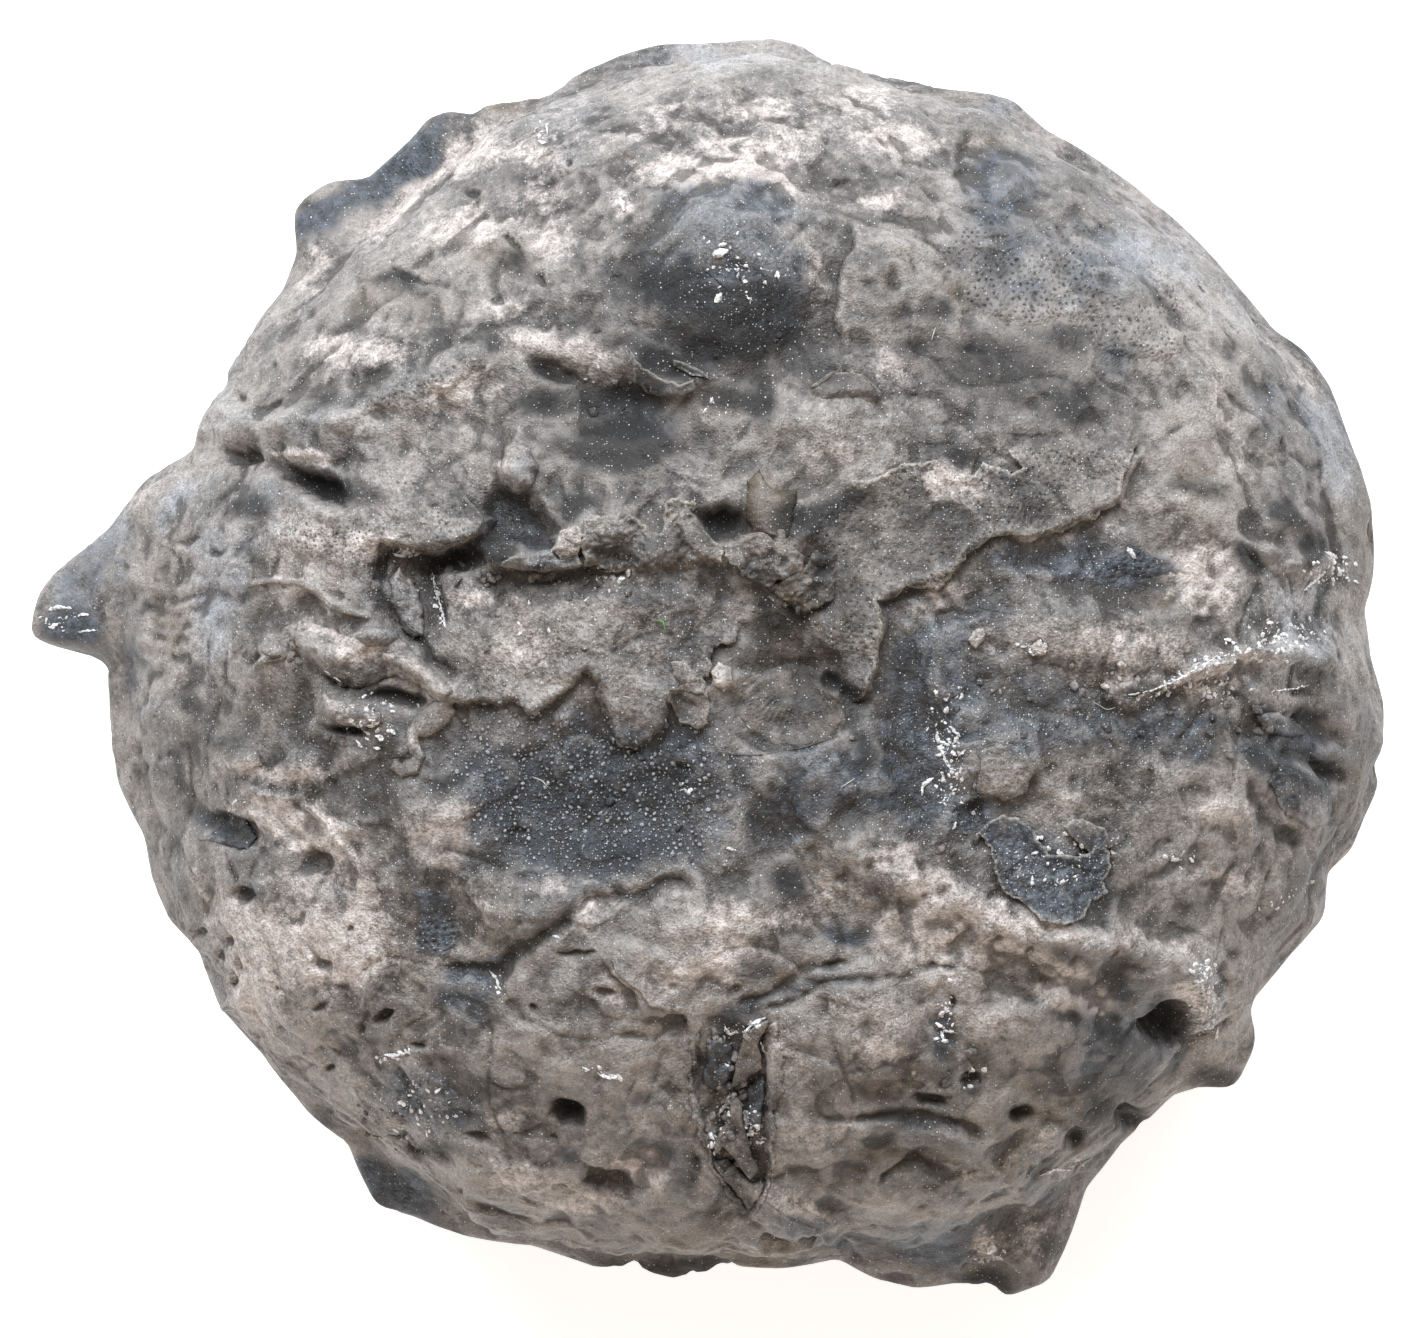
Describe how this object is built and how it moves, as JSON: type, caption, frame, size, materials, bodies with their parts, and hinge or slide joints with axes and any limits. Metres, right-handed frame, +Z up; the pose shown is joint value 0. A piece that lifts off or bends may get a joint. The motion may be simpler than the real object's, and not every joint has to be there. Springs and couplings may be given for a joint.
{
  "type": "fossil crinoid calyx",
  "caption": "Round fossil calyx of a sea lily lying mouth down, its domed base up, with ragged crusts, a flange of knobs and one broken spine",
  "frame": {"origin": "on the surface it rests on, under the middle of its outline", "axes": "+Z is up out of the domed base of the cup, +X runs from the broken spine to the opposite side and is the longest extent, +Y is the third"},
  "size_m": [0.0685, 0.0636, 0.033],
  "materials": {
    "fossil_stone": "silicified limestone, mottled slate grey, tan and cream, dull with a slight gloss on the dark patches"
  },
  "bodies": {
    "root": {"crinoid_calyx": "fossil_stone"}
  },
  "joints": []
}
